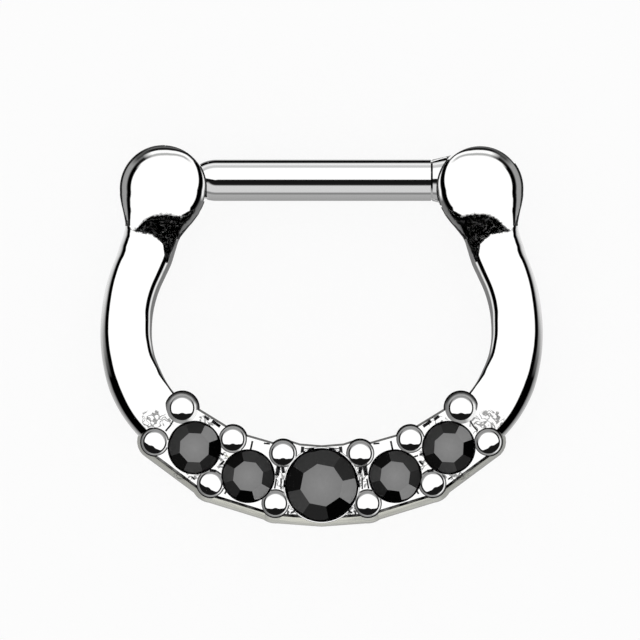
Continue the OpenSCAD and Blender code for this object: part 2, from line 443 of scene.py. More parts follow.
# near-black steel: painted shade in the seats and graver cuts
seatBlack = steelFinish("seatBlack", (0.012, 0.012, 0.013), 0.4, 0.6, 0.3)
# dark, rough steel: painted shade inside the slots of balls and bar
slotSteel = steelFinish("slotSteel", (0.09, 0.09, 0.09), 0.35, 0.5, 0.1)
print("finishes ready")


def dress(obj, material):
    # one finish on every face
    obj.data.materials.clear()
    obj.data.materials.append(material)
    for face in obj.data.polygons:
        face.material_index = 0
    obj.visible_glossy = False    # polished pieces mirror the light tents and not each other


def dullSlot(obj, test):
    # faces whose corners all pass the test get a dark, rough steel: painted shade inside the slot
    obj.data.materials.append(slotSteel)
    for face in obj.data.polygons:
        if all(test(obj.data.vertices[v].co / mm) for v in face.vertices):
            face.material_index = 1


# arms: each one tube with its ball and neck

arm = {
    "sides": 96,
    "ball": (5.51, 5.13),         # middle of the right ball, mm
    "ballRadius": 1.51,
    "level": 1.51,                # height of the middle plane
    "startHeading": 283.6,        # degrees, from the far pole of the ball down its neck
    "ballSteps": 34,
    "legsFrom": 0.5,              # the legs start this far past the middle of the ball
    "legs": [                     # length in mm, turning in degrees, steps
        (1.2, 0.9, 30),
        (1.3, 10.0, 18),
        (1.4, -16.5, 10),
        (0.9, -8.8, 6),
        (1.9, -25.0, 13),
        (1.4, -21.5, 9),
    ],
    "flatten": (6.6, 8.0, 0.88),  # the tube sinks to the level of the plate between these lengths
    # (way along the path from the middle of the ball, height as a share of the radius)
    "recess": [(0.5, 1.0), (0.7, 0.99), (0.9, 0.955), (1.0, 0.925), (1.1, 0.885), (1.2, 0.845),
               (1.3, 0.805), (1.4, 0.765), (1.5, 0.725), (1.56, 0.71), (1.6, 0.75), (1.66, 0.86),
               (1.74, 0.94), (1.85, 0.975), (2.1, 1.0)],
    "seam": 1.58,                 # the ball ends and the arm starts here, in the bottom of the recess
    "lap": (0.03, 0.01),          # the ball ends this much later, and the arm starts this much sooner
    # (way along the path, radius)
    "neck": [(0.5, 1.43), (0.6, 1.403), (0.7, 1.363), (0.9, 1.275), (1.1, 1.17), (1.3, 1.075),
             (1.5, 0.985), (1.7, 0.95), (2.0, 0.944), (2.4, 0.953), (2.8, 0.925), (3.4, 0.91),
             (4.5, 0.892), (5.5, 0.895), (6.2, 0.912), (6.9, 0.955), (9.0, 0.97)],
}


def tubeRadius(travel):
    # travel is the way from the middle of the ball along the path
    table = arm["neck"]
    if travel <= table[0][0]:
        return math.sqrt(max(arm["ballRadius"] ** 2 - travel ** 2, 0))
    for (s0, r0), (s1, r1) in zip(table, table[1:]):
        if travel <= s1:
            share = (travel - s0) / (s1 - s0)
            return r0 + (r1 - r0) * share
    return table[-1][1]


def tubeHeight(travel):
    # the cast recess below the ball, and then the sinking end of the arm
    start, end, share = arm["flatten"]
    way = min(max((travel - start) / (end - start), 0), 1)
    height = 1 - (1 - share) * way * way * (3 - 2 * way)
    table = arm["recess"]
    for (s0, h0), (s1, h1) in zip(table, table[1:]):
        if s0 <= travel < s1:
            height *= h0 + (h1 - h0) * (travel - s0) / (s1 - s0)
    return height


def armStations():
    # (x, y, heading, radius, height as a share of the radius, travel) of each ring of the tube
    heading = math.radians(arm["startHeading"])
    bx, by = arm["ball"]
    stations = []
    lastTilt = math.pi / 2 + math.asin(arm["legsFrom"] / arm["ballRadius"])
    for i in range(1, arm["ballSteps"] + 1):
        travel = -arm["ballRadius"] * math.cos(lastTilt * i / arm["ballSteps"])
        x, y = bx + travel * math.cos(heading), by + travel * math.sin(heading)
        stations.append((x, y, heading, tubeRadius(travel), 1, travel))
    travel = arm["legsFrom"]
    for length, turning, steps in arm["legs"]:
        for i in range(steps):
            half = math.radians(turning) / steps / 2
            heading += half
            x += length / steps * math.cos(heading)
            y += length / steps * math.sin(heading)
            heading += half
            travel += length / steps
            stations.append((x, y, heading, tubeRadius(travel), tubeHeight(travel), travel))
    return stations


def makeTube(name, stations):
    # a ring of corners drawn out from station to station and closed at both ends
    x, y, heading, radius, height, travel = stations[0]
    bpy.ops.object.select_all(action="DESELECT")
    bpy.ops.mesh.primitive_circle_add(
        vertices=arm["sides"], radius=radius * mm, location=point(x, y, arm["level"]),
        rotation=(math.pi / 2, 0, heading + math.pi / 2))
    obj = bpy.context.object
    obj.name = obj.data.name = name
    settle(obj)
    edit(obj)
    bpy.ops.mesh.select_all(action="SELECT")
    bpy.ops.transform.resize(value=(1, 1, height), center_override=point(x, y, arm["level"]))
    bpy.ops.mesh.extrude_region_move()    # the first end is closed by a fan
    bpy.ops.mesh.merge(type="CENTER")
    pole = point(x, y, arm["level"])
    pick(obj, lambda co: (co - pole).length > 0.5 * radius * mm)
    for station in stations[1:]:
        here = point(x, y, arm["level"])
        nx, ny, nextHeading, nextRadius, nextHeight, travel = station
        grow = nextRadius / radius
        bpy.ops.mesh.extrude_region_move()
        bpy.ops.transform.resize(value=(grow, grow, grow * nextHeight / height), center_override=here)
        turnBy(nextHeading - heading, "Z", here)
        bpy.ops.transform.translate(value=point(nx - x, ny - y, 0))
        x, y, heading, radius, height = nx, ny, nextHeading, nextRadius, nextHeight
    bpy.ops.mesh.edge_face_add()
    leaveEdit()
    cleanUp(obj, 40)
    return obj


def flatBlank(name, outline, thickness):
    # a flat piece in the middle plane: its outline drawn at the lower level and pulled up
    obj = newPiece(name)
    low = arm["level"] - thickness / 2
    drawLine([point(x, y, low) for x, y in outline])
    bpy.ops.mesh.select_all(action="SELECT")
    bpy.ops.mesh.edge_face_add()
    bpy.ops.mesh.extrude_region_move(TRANSFORM_OT_translate={"value": point(0, 0, thickness)})
    leaveEdit()
    cleanUp(obj, 35)
    return obj


hinge = {
    "pin": (5.51, 5.13),
    "slotThickness": 0.72,
    "knuckleRoom": 1.05,
    "sweep": (36, 206),           # degrees that the lug sweeps through, with its room
    "sweepSteps": 12,
    "knuckleSteps": 36,
    "reach": 2.2,
    "boreRadius": 0.365,
    "boreEnds": (-0.5, 2.52),
    "boreSteps": 48,
}
catch = {
    "slotThickness": 0.72,
    "outline": [(-5.44, 7.4), (-5.44, 4.915), (-4.62, 4.865), (-4.2, 4.695), (-3.6, 4.615), (-3.6, 7.4)],
}


def hingeOutline():
    # the room of the lug, wide where it swings and narrow round the knuckle
    first, last = hinge["sweep"]
    swing = arcPoints(hinge["pin"], hinge["reach"], first, last, hinge["sweepSteps"])
    return swing + arcPoints(hinge["pin"], hinge["knuckleRoom"], last, first + 360, hinge["knuckleSteps"])


def pinBore():
    radius, (low, high) = hinge["boreRadius"], hinge["boreEnds"]
    profile = [(0, low), (radius, low), (radius, high), (0, high)]
    return turned("pinBore", profile, hinge["pin"], hinge["boreSteps"])


def inSlot(co):
    return abs(co.z - arm["level"]) < hinge["slotThickness"] / 2 + 0.001


skinSteel(ringSteel, markSteel(ringSteel))
stations = armStations()
ballEnd, armStart = arm["seam"] + arm["lap"][0], arm["seam"] - arm["lap"][1]
ballRight = makeTube("ballRight", [station for station in stations if station[5] < ballEnd])
ballLeft = mirrored(ballRight, "ballLeft")
armRight = makeTube("armRight", [station for station in stations if station[5] > armStart])
armLeft = mirrored(armRight, "armLeft")
cut(ballRight, flatBlank("hingeSlot", hingeOutline(), hinge["slotThickness"]))
cut(ballRight, pinBore())
cut(ballLeft, flatBlank("catchSlot", catch["outline"], catch["slotThickness"]))
for obj in (ballRight, ballLeft, armRight, armLeft):
    cleanUp(obj, 40)
    dress(obj, ringSteel)
    if obj in (ballRight, ballLeft):
        dullSlot(obj, inSlot)
    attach(obj, "ring")
    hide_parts("ring_body")
print("arms done")


# setting: the plate under the stones

setting = {
    "height": 2.3,
    "wall": 1.2,                  # straight outer wall up to here, then it leans in
    "waist": (1.8, 0.43),         # height where it leans more, and share of the lean that it has by then
    "edgeLevel": 2.2,             # where the bright-cut edge starts
    "arcSteps": 10,
    # the beads that the outline runs round, and its first and last points
    "walk": [(1.6, -5.8), (3.84, -5.11), (5.78, -3.67), (4.835, -2.49), (3.08, -3.57), (1.34, -4.07)],
    "start": (0, -5.92),
    "last": [(0.75, -3.76), (0, -3.82)],
    # how far the outline keeps from the line between two beads, and from each bead
    "footOffset": [0.72, 0.69, 0.64, 0.45, 0.25, 0.25, 0.25],
    "footRadius": [0.728, 0.7, 0.645, 0.49, 0.49, 0.49],
    "edgeOffset": [0.44, 0.44, 0.44, 0.45, 0.25, 0.25, 0.25],
    "edgeRadius": [0.5, 0.5, 0.5, 0.49, 0.49, 0.49],
    "topOffset": [0.34, 0.34, 0.34, 0.35, 0.21, 0.21, 0.21],
    "topRadius": [0.41, 0.41, 0.41, 0.45, 0.45, 0.45],
    "topInward": 0.04,            # the inner edge of the top stands back by this
    # (radius, height) of the wall round the middle stone
    "middleWall": [(0, 0.05), (1.33, 0.05), (1.33, 2.28), (1.32, 2.37), (1.312, 2.38), (0, 2.38)],
}


def halfOutline(offsets, radii, inward=0):
    # the right half of the outline, from the lowest point round the beads to the inner middle
    points = [(0, setting["start"][1] - offsets[0])]
    stops = [setting["start"]] + setting["walk"] + [setting["last"][0]]
    for i, (bx, by) in enumerate(setting["walk"]):
        cameFrom, goesTo = stops[i], stops[i + 2]
        headingIn = math.atan2(by - cameFrom[1], bx - cameFrom[0])
        headingOut = math.atan2(goesTo[1] - by, goesTo[0] - bx)
        first = math.degrees(headingIn + math.asin(offsets[i] / radii[i])) - 180
        last = math.degrees(headingOut - math.asin(offsets[i + 1] / radii[i]))
        points += arcPoints((bx, by), radii[i], first, first + (last - first) % 360, setting["arcSteps"])
    return points + [(x, y - inward) for x, y in setting["last"]]


def wholeOutline(half):
    left = [(-x, y) for x, y in reversed(half[1:-1])]
    return half + left


def makePlate():
    # the outlines at five heights, bridged from each to the next
    obj = newPiece("settingPlate")
    foot = wholeOutline(halfOutline(setting["footOffset"], setting["footRadius"]))
    edge = wholeOutline(halfOutline(setting["edgeOffset"], setting["edgeRadius"]))
    top = wholeOutline(halfOutline(setting["topOffset"], setting["topRadius"], setting["topInward"]))
    waistLevel, share = setting["waist"]
    waist = [(fx + (ex - fx) * share, fy + (ey - fy) * share) for (fx, fy), (ex, ey) in zip(foot, edge)]
    levels = [(foot, 0), (foot, setting["wall"]), (waist, waistLevel),
              (edge, setting["edgeLevel"]), (top, setting["height"])]
    for outline, level in levels:
        drawLine([point(x, y, level) for x, y in outline + outline[:1]])
    bpy.ops.mesh.select_all(action="SELECT")
    bpy.ops.mesh.remove_doubles(threshold=touching)
    for (_, low), (_, high) in zip(levels, levels[1:]):
        pick(obj, atLevel(low, high))
        bpy.ops.mesh.bridge_edge_loops()
    for level in (0, setting["height"]):
        pick(obj, atLevel(level))
        bpy.ops.mesh.edge_face_add()
    leaveEdit()
    cleanUp(obj, 25)
    return obj


stones = {
    "places": [(-4.41, -3.87), (-2.55, -4.86), (0, -5.165), (2.55, -4.86), (4.41, -3.87)],
    # turns: where the facet with the painted bright reflection of each stone looks
    "turns": [42, -52, -11, -52, 42],    # where the bright facet of each one looks, degrees
    "radii": [0.9, 0.9, 1.25, 0.9, 0.9],
    "girdleLevel": [2.26, 2.26, 2.34, 2.26, 2.26],
    "facets": 8,
    # shares of the radius
    "crown": 0.3,                 # depth of the crown, down from the table
    "rise": 0.03,                 # height of the table above the crown's rim
    "girdle": 0.1,
    "pavilion": 0.75,
    "point": 0.02,
    "table": 0.6,
    # (radius, height) of the round that it is cut from
    "blank": [(0, -1), (1, -1), (1, 0), (0.75, 0.5), (0, 0.5)],
}
seat = {
    "gap": 0.035,                 # room round the stone
    "below": 0.1,                 # and under its point
    "floor": 0.12,                # radius of the flat floor
    "above": 0.4,                 # the cutter stands out of the plate by this
    "steps": 96,
}


def seatTool(i):
    # the well that a stone sits in
    r = stones["radii"][i]
    wall = r + seat["gap"]
    level = stones["girdleLevel"][i] - stones["girdle"] * r - seat["gap"]
    floorLevel = level - stones["pavilion"] * r - seat["below"]
    top = setting["height"] + seat["above"]
    profile = [(0, floorLevel), (seat["floor"], floorLevel), (wall, level), (wall, top), (0, top)]
    return turned("seatCutter%d" % i, profile, stones["places"][i], seat["steps"])


collar = {
    "radius": 0.478,              # the ring round the foot of each bead
    "level": 2.315,               # height of its outer edge
    "wideRadius": 0.565,          # round the two beads next to the arms
    "wideLevel": 2.28,
    "steepness": 1.85,            # rise of its slope for each mm inwards
    "foot": 1.9,
    "chamfer": (0.038, 0.048),    # run and drop of the line round it
    "tuck": 0.002,                # its lip reaches this far under the bead
    "steps": 64,
}
bead = {
    "radius": 0.41,
    "wideRadius": 0.43,
    "level": 2.42,                # height of its middle
    "wideRise": 0.1,              # the wide ones stand higher
    "arc": (90, -5, 19),          # degrees from the top to the widest part and a little below, and steps
    "foot": 2.3,
    "steps": 48,
}


def collarRing(place, wide):
    # the ring round the foot of a bead
    radius, level = (collar[name] for name in (("wideRadius", "wideLevel") if wide else ("radius", "level")))
    lip = (bead["wideRadius"] if wide else bead["radius"]) - collar["tuck"]
    run, drop = collar["chamfer"]
    lipLevel = level + (radius - lip) * collar["steepness"]
    return turned("collar", [
        (0, collar["foot"]), (radius + run, collar["foot"]), (radius + run, level - drop), (radius, level),
        (lip, lipLevel), (0, lipLevel)], place, collar["steps"])


pits = {
    # middle, turn in degrees, length and width of each graver cut on the left side, mirrored on the right
    "cuts": [(-3.99, -2.84, -38, 0.22, 0.1), (-3.66, -3.04, -36, 0.34, 0.11),
             (-2.43, -3.79, 78, 0.32, 0.07), (-0.664, -3.94, 84, 0.22, 0.12),
             (-1.9, -3.73, -5, 0.22, 0.06), (-1.52, -4.68, 80, 0.34, 0.15),
             (-1.34, -4.63, 100, 0.26, 0.12), (-1.6, -5.12, 80, 0.36, 0.06), (-1.41, -5.12, 90, 0.4, 0.05),
             (-0.42, -3.89, 5, 0.36, 0.035), (-3.256, -4.174, -20, 0.2, 0.06),
             (-3.777, -4.66, -10, 0.26, 0.09), (-3.45, -4.4, 45, 0.2, 0.08), (-5.33, -3.2, 50, 0.26, 0.06),
             (-5.2, -3.02, 60, 0.2, 0.06), (-1.17, -6.14, 80, 0.18, 0.07), (-0.98, -6.1, 20, 0.18, 0.07),
             (-3.47, -4.09, -30, 0.16, 0.07), (-3.33, -5.42, 60, 0.14, 0.07),
             (-4.45, -4.93, -35, 0.16, 0.06)],
    "depth": 0.2,
    "above": 0.01,                # the cutter stands out of the plate by this
    "floor": 0.35,                # width of the floor against the mouth
}


def pitTool(x, y, turn, length, width):
    # a cut with four sides, drawn out lengthwise
    bpy.ops.object.select_all(action="DESELECT")
    bpy.ops.mesh.primitive_cone_add(
        vertices=4, radius1=pits["floor"] * mm, radius2=mm, depth=pits["depth"] * mm,
        location=(0, 0, 0), rotation=(0, 0, math.radians(45)))
    obj = bpy.context.object
    settle(obj)
    obj.scale = (length / math.sqrt(2), width / math.sqrt(2), 1)
    obj.rotation_euler = (0, 0, math.radians(turn))
    obj.location = point(x, y, setting["height"] - pits["depth"] / 2 + pits["above"])
    settle(obj)
    return obj


# the painted shade of seats and cuts reaches this far past them
blackMargins = {"seat": 0.005, "cut": 0.01}    # the black ends this far outside a seat and a cut, mm


def blacken(obj):
    # the walls and floors of the seats and of the graver cuts get a near-black steel: painted shade in the
    # wells
    obj.data.materials.append(seatBlack)
    seatEdge = seat["gap"] + blackMargins["seat"]
    wells = [(x, y, r + seatEdge) for (x, y), r in zip(stones["places"], stones["radii"])]
    for x, y, turn, length, width in pits["cuts"]:
        reach = math.hypot(length, width) / 2 + blackMargins["cut"]
        wells += [(x, y, reach), (-x, y, reach)]
    for face in obj.data.polygons:
        corners = [obj.data.vertices[v].co / mm for v in face.vertices]
        for x, y, reach in wells:
            if all(math.hypot(co.x - x, co.y - y) < reach for co in corners):
                face.material_index = 1
                break


wallSteel(settingSteel, markSteel(settingSteel))
places = [(side * x, y) for side in (1, -1) for x, y in setting["walk"]]
wideOnes = [abs(x) > 4 and y > -3 for x, y in places]
plate = makePlate()
weld(plate, turned("middleWall", setting["middleWall"], stones["places"][2], seat["steps"]))
for place, wide in zip(places, wideOnes):
    weld(plate, collarRing(place, wide))
for i in range(len(stones["places"])):
    cut(plate, seatTool(i))
for x, y, turn, length, width in pits["cuts"]:
    cut(plate, pitTool(x, y, turn, length, width))
    cut(plate, pitTool(-x, y, 180 - turn, length, width))
cleanUp(plate, 20)
dress(plate, settingSteel)
blacken(plate)
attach(plate, "ring")
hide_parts("ring_body")
print("setting plate done")


# beads

def beadProfile():
    dome = arcPoints((0, bead["level"]), bead["radius"], *bead["arc"])
    return dome + [(dome[-1][0], bead["foot"]), (0, bead["foot"])]


beads = []
beadMaster = turned("beadMaster", beadProfile(), (0, 0), bead["steps"], 30)
for i, ((x, y), wide) in enumerate(zip(places, wideOnes)):
    size, lift = (bead["wideRadius"] / bead["radius"], bead["wideRise"]) if wide else (1, 0)
    obj = copyTo(beadMaster, "bead_%d" % (i + 1), point(x, y, lift), size=(size, size, 1))
    dress(obj, beadSteel)
    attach(obj, "ring")
    beads.append(obj)
bpy.data.objects.remove(beadMaster)
print("beads done")


# stones

stoneTones = {
    # painted reflections: the table lighter, lightest in its middle, and one bright facet
    "table": 0.2,
    "tableMiddle": 0.24,
    # clockwise from the facet with the painted bright reflection
    "facets": [0.235, 0.001, 0.018, 0.048, 0.006, 0.038, 0.038, 0.025],
    "under": 0.003,               # girdle and back
    "flatFrom": 0.99,             # upward part of a face's direction: the table is above this
    "crownFrom": 0.6,             # and the crown above this
    "roughness": 0.08,
    "ior": 1.5,
    "specular": 0.3,
    "speckGrain": 9000,
    "specks": (0.94, 1.06),       # they make the tone this much darker or lighter
}
facetTurn = 360 / stones["facets"]


def stoneFinish():
    # opaque black crystal, each facet in its own tone of painted reflection
    material = newFinish("blackCrystal", {
        "Roughness": stoneTones["roughness"], "IOR": stoneTones["ior"],
        "Specular IOR Level": stoneTones["specular"]})
    tree = material.node_tree
    tone = tree.nodes.new("ShaderNodeAttribute")
    tone.attribute_name = "facetTone"
    speck = add(tree, "TexNoise", {"Vector": ownPlace(tree), "Scale": stoneTones["speckGrain"]})
    darkest, lightest = stoneTones["specks"]
    spread = add(tree, "MapRange", {"Value": speck, "To Min": darkest, "To Max": lightest})
    shade = add(tree, "VectorMath", {0: tone.outputs["Color"], "Scale": spread}, "SCALE")
    fillSurface(material, {"Base Color": shade})
    return material


def pickFlat(obj, up):
    # selects the level faces that look up (1) or down (-1)
    edit(obj)
    bpy.ops.mesh.select_mode(type="FACE")
    mesh = bmesh.from_edit_mesh(obj.data)
    for face in mesh.faces:
        face.select = face.normal.z * up > stoneTones["flatFrom"]
    bmesh.update_edit_mesh(obj.data)


def makeStone():
    # one stone of radius 1 mm round the origin, girdle at height 0, corner of the table on the X axis
    corner = 1 / math.cos(math.radians(facetTurn / 2))
    wide = corner + (corner - stones["table"]) * stones["girdle"] / stones["crown"]
    deep = stones["crown"] + stones["girdle"]
    middle = stones["crown"] + stones["rise"] - deep / 2
    bpy.ops.object.select_all(action="DESELECT")
    bpy.ops.mesh.primitive_cone_add(
        vertices=stones["facets"], radius1=wide * mm, radius2=stones["table"] * mm, depth=deep * mm,
        location=point(0, 0, middle), rotation=(0, 0, math.pi / 2))
    stone = bpy.context.object
    stone.name = stone.data.name = "stoneMaster"
    settle(stone)
    combine(stone, turned("stoneBlank", stones["blank"], (0, 0), seat["steps"]), "INTERSECT")
    pickFlat(stone, -1)
    bpy.ops.mesh.extrude_region_move(TRANSFORM_OT_translate={"value": point(0, 0, -stones["pavilion"])})
    bpy.ops.transform.resize(value=(stones["point"], stones["point"], 1), center_override=(0, 0, 0))
    leaveEdit()
    pickFlat(stone, 1)
    bpy.ops.mesh.poke()
    leaveEdit()
    cleanUp(stone, 12)
    return stone


def toneStone(obj):
    # each facet gets its own tone: painted reflections on the black stone, a lighter table and one bright
    # facet
    tones = obj.data.color_attributes.new("facetTone", "FLOAT_COLOR", "CORNER")
    for face in obj.data.polygons:
        n = face.normal
        for loop in face.loop_indices:
            co = obj.data.vertices[obj.data.loops[loop].vertex_index].co
            if n.z > stoneTones["flatFrom"]:
                value = stoneTones["tableMiddle"] if co.xy.length < 0.1 * mm else stoneTones["table"]
            elif n.z > stoneTones["crownFrom"]:
                azimuth = math.degrees(math.atan2(n.y, n.x))
                step = round((facetTurn / 2 - azimuth) / facetTurn) % stones["facets"]
                value = stoneTones["facets"][step]
            else:
                value = stoneTones["under"]
            tones.data[loop].color = (value, value, value, 1)


blackCrystal = stoneFinish()
stoneMaster = makeStone()
toneStone(stoneMaster)
stonePieces = []
for i, (x, y) in enumerate(stones["places"]):
    here, turn = point(x, y, stones["girdleLevel"][i]), stones["turns"][i] - facetTurn / 2
    obj = copyTo(stoneMaster, "cutStone_%d" % (i + 1), here, turn, (stones["radii"][i],) * 3)
    dress(obj, blackCrystal)
    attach(obj, "ring")
    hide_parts("stone_%d" % (i + 1))
    stonePieces.append(obj)
bpy.data.objects.remove(stoneMaster)
print("stones done")


# bar with its lug and tongue

bar = {
    "y": 5.415,
    "radius": 0.715,
    "sides": 96,
    # (x, radius) of the shank: a rounded left end, a straight stretch, a groove and a flare at the hinge
    "shank": [(-4.3, 0.5), (-4.2, 0.58), (-4.1, 0.63), (-4.0, 0.665), (-3.9, 0.69), (-3.8, 0.707),
              (-3.7, 0.715), (-3.6, 0.715), (3.7, 0.715), (3.79, 0.715), (3.823, 0.67), (3.86, 0.722),
              (4.0, 0.752), (4.2, 0.8), (4.5, 0.87)],
    "ballRoom": 1.53,             # the ends are hollowed round the balls to this radius
    "lowEnd": -3.985,             # below the ball's middle the left end is straight, to swing past the ball
    "highEnd": (60, 16),          # above it, degrees of the hollow and steps
    "cutter": [(-4.9, 7.0), (-5.2, 7.0), (-5.2, 4.0)],    # far corners of the left end's cutter
    "cutterDepth": 2.6,
    "flat": 0.64,                 # thickness of lug and tongue
    "soft": 0.04,                 # their rounded edges
    "rimSoft": 0.01,
    # outlines: the lug's round the pin, the tongue's round the axis of the bar
    "lug": [(-1.19, 1.11), (-1.7, 0.96), (-1.95, 0.8), (-1.95, -0.2), (-1.6, -0.42), (-1.4, -0.5)],
    "knuckle": 1.0,
    "knuckleArc": (205, 496, 40),
    "rim": 1.5,                   # lug and tongue fill the slots of the balls out to here
    "hingeRim": (137, 203),       # degrees from one end of the rim to the other
    "catchRim": (-12, 86.6),
    "rimSteps": 32,
    "catchFloor": [(-5.42, 4.95), (-4.55, 4.895)],
    "pinHole": 0.38,
    "tongue": [(-3.6, 0.6), (-3.95, 0.62), (-4.2, 0.5), (-4.6, 0.44), (-5.23, 0.42), (-5.35, 0.3),
               (-5.35, -0.3), (-5.23, -0.42), (-4.6, -0.45), (-4.2, -0.6), (-3.95, -0.64), (-3.6, -0.6)],
}


def makeShank():
    # a round end drawn out along the bar, wider and narrower
    bpy.ops.object.select_all(action="DESELECT")
    x, radius = bar["shank"][0]
    bpy.ops.mesh.primitive_circle_add(
        vertices=bar["sides"], radius=radius * mm, fill_type="NGON",
        location=point(x, bar["y"], arm["level"]), rotation=(0, math.pi / 2, 0))
    obj = bpy.context.object
    obj.name = obj.data.name = "postBar"
    settle(obj)
    edit(obj)
    bpy.ops.mesh.select_all(action="SELECT")
    for nextX, nextRadius in bar["shank"][1:]:
        bpy.ops.mesh.extrude_region_move()
        grow = nextRadius / radius
        bpy.ops.transform.resize(value=(1, grow, grow), center_override=point(x, bar["y"], arm["level"]))
        bpy.ops.transform.translate(value=point(nextX - x, 0, 0))
        x, radius = nextX, nextRadius
    leaveEdit()
    cleanUp(obj, 35)
    return obj


leftBall = (-arm["ball"][0], arm["ball"][1])


def leftEndTool():
    # hollows the left end round the upper half of the ball
    high, steps = bar["highEnd"]
    hollow = arcPoints(leftBall, bar["ballRoom"], 0, high, steps)[1:]
    low = bar["cutter"][-1][1]
    outline = [(bar["lowEnd"], low), (bar["lowEnd"], leftBall[1])] + hollow + bar["cutter"]
    return flatBlank("leftEndCutter", outline, bar["cutterDepth"])


def flatPiece(name, outline, origin, bevel):
    # a flat piece with softened edges, its outline measured from the origin
    obj = flatBlank(name, [(origin[0] + x, origin[1] + y) for x, y in outline], bar["flat"])
    only(obj)
    soft = obj.modifiers.new("soft", "BEVEL")
    soft.width = bevel * mm
    soft.segments = 3
    soft.limit_method = "ANGLE"
    soft.angle_limit = math.radians(50)
    bpy.ops.object.modifier_apply(modifier="soft")
    return obj


def rightTool(name, radius, top, steps):
    # an upright cutter round the pin
    return turned(name, [(0, 0), (radius, 0), (radius, top), (0, top)], hinge["pin"], steps)


def inBall(co):
    return math.hypot(abs(co.x) - arm["ball"][0], co.y - arm["ball"][1]) < bar["ballRoom"] - 0.001


lugSide = bar["lug"] + arcPoints((0, 0), bar["knuckle"], *bar["knuckleArc"])
hingeSide = arcPoints(hinge["pin"], bar["rim"], *bar["hingeRim"], bar["rimSteps"]) + [hinge["pin"]]
catchSide = bar["catchFloor"] + arcPoints(leftBall, bar["rim"], *bar["catchRim"], bar["rimSteps"])
postBar = makeShank()
cut(postBar, rightTool("rightEndCutter", bar["ballRoom"], arm["level"] * 2, 128))
cut(postBar, leftEndTool())
weld(postBar, flatPiece("hingeRim", hingeSide, (0, 0), bar["rimSoft"]))
weld(postBar, flatPiece("catchRim", catchSide, (0, 0), bar["rimSoft"]))
weld(postBar, flatPiece("lug", lugSide, hinge["pin"], bar["soft"]))
weld(postBar, flatPiece("tongue", bar["tongue"], (0, bar["y"]), bar["soft"]))
cut(postBar, rightTool("pinHole", bar["pinHole"], arm["level"] * 2, hinge["boreSteps"]))
cleanUp(postBar, 35)
dress(postBar, barSteel)
dullSlot(postBar, inBall)
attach(postBar, "bar")
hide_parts("bar")
dress(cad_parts["hinge_pin"], pinSteel)
print("bar done")


# table, light tents and camera

studio = {
    "white": 1.08,                # brightness of the tent cloth
    "room": 1.0,                  # soft light on what isn't polished
    "tent": (1.04, 0.02),         # radius of the widest tent in metres, and how much less the next one has
    "sides": (48, 24),
    "seam": 4,                    # degrees over which the inner strip changes into the outer one
}


def lightTent(name, radius, receivers, look, outerSide, turn):
    # a cloth tent of soft light round the table that only these pieces mirror. It is sewn from four strips:
    # towards the outer side of the ring, the inner side, the top (Y) and the bottom (-Y) of the picture.
    # Each strip is a list of (degrees above its rim, shade). Lean lifts the rim: (degrees from the top,
    # degrees), negative from the top on the inner side. topFrom and bottomFrom say where those strips start
    # and take over, first on the inner and then on the outer side. A shoulder strip may lie beside the top.
    bpy.ops.object.select_all(action="DESELECT")
    around, up = studio["sides"]
    bpy.ops.mesh.primitive_uv_sphere_add(
        segments=around, ring_count=up, radius=radius, rotation=(0, 0, math.radians(turn)))
    obj = bpy.context.object
    obj.name = obj.data.name = name
    material = bpy.data.materials.new(name)
    material.use_nodes = True
    tree = material.node_tree
    tree.nodes.clear()
    axes = axesOf(tree, add(tree, "VectorMath", {0: ownPlace(tree)}, "NORMALIZE"))
    outwards = mathNode(tree, "MULTIPLY", axes["X"], outerSide)
    fromTop = mathNode(tree, "DEGREES", mathNode(tree, "ARCTAN2", outwards, axes["Y"]))
    rise = mathNode(tree, "DEGREES", mathNode(tree, "ARCSINE", axes["Z"]))
    leanStops = [(degrees, (angle + 90) / 180) for degrees, angle in look["lean"]]
    lean = shadeBand(tree, fromTop, -180, 180, leanStops)
    height = mathNode(tree, "ADD", rise, mathNode(tree, "MULTIPLY_ADD", lean, -180, 90))
    outer, inner, top, bottom = (shadeBand(tree, height, -90, 90, look[side])
                                 for side in ("outer", "inner", "top", "bottom"))
    cloth = blend(tree, fade(tree, fromTop, -studio["seam"], studio["seam"]), inner, outer)
    if "shoulder" in look:
        shoulder = shadeBand(tree, height, -90, 90, look["shoulder"])
        ends = [fade(tree, fromTop, *look["shoulderFrom"][k:k + 2]) for k in (0, 2)]
        cloth = blend(tree, mathNode(tree, "MULTIPLY", *ends), cloth, shoulder)
    shares = [fade(tree, fromTop, *look[strip][k:k + 2])
              for strip in ("topFrom", "bottomFrom") for k in (0, 2)]
    cloth = blend(tree, mathNode(tree, "MULTIPLY", shares[0], shares[1]), cloth, top)
    cloth = blend(tree, mathNode(tree, "MAXIMUM", shares[2], shares[3]), cloth, bottom)
    glow = add(tree, "Emission", {"Color": cloth, "Strength": studio["white"]})
    clear = add(tree, "BsdfTransparent", {})
    light = add(tree, "AddShader", {0: glow, 1: clear})
    fill(tree, tree.nodes.new("ShaderNodeOutputMaterial"), {"Surface": light})
    material.cycles.emission_sampling = "NONE"
    obj.data.materials.append(material)
    obj.visible_camera = False
    obj.visible_diffuse = False
    obj.visible_shadow = False
    obj.visible_transmission = False
    group = bpy.data.collections.new(name)
    for piece in receivers:
        group.objects.link(piece)
    obj.light_linking.receiver_collection = group


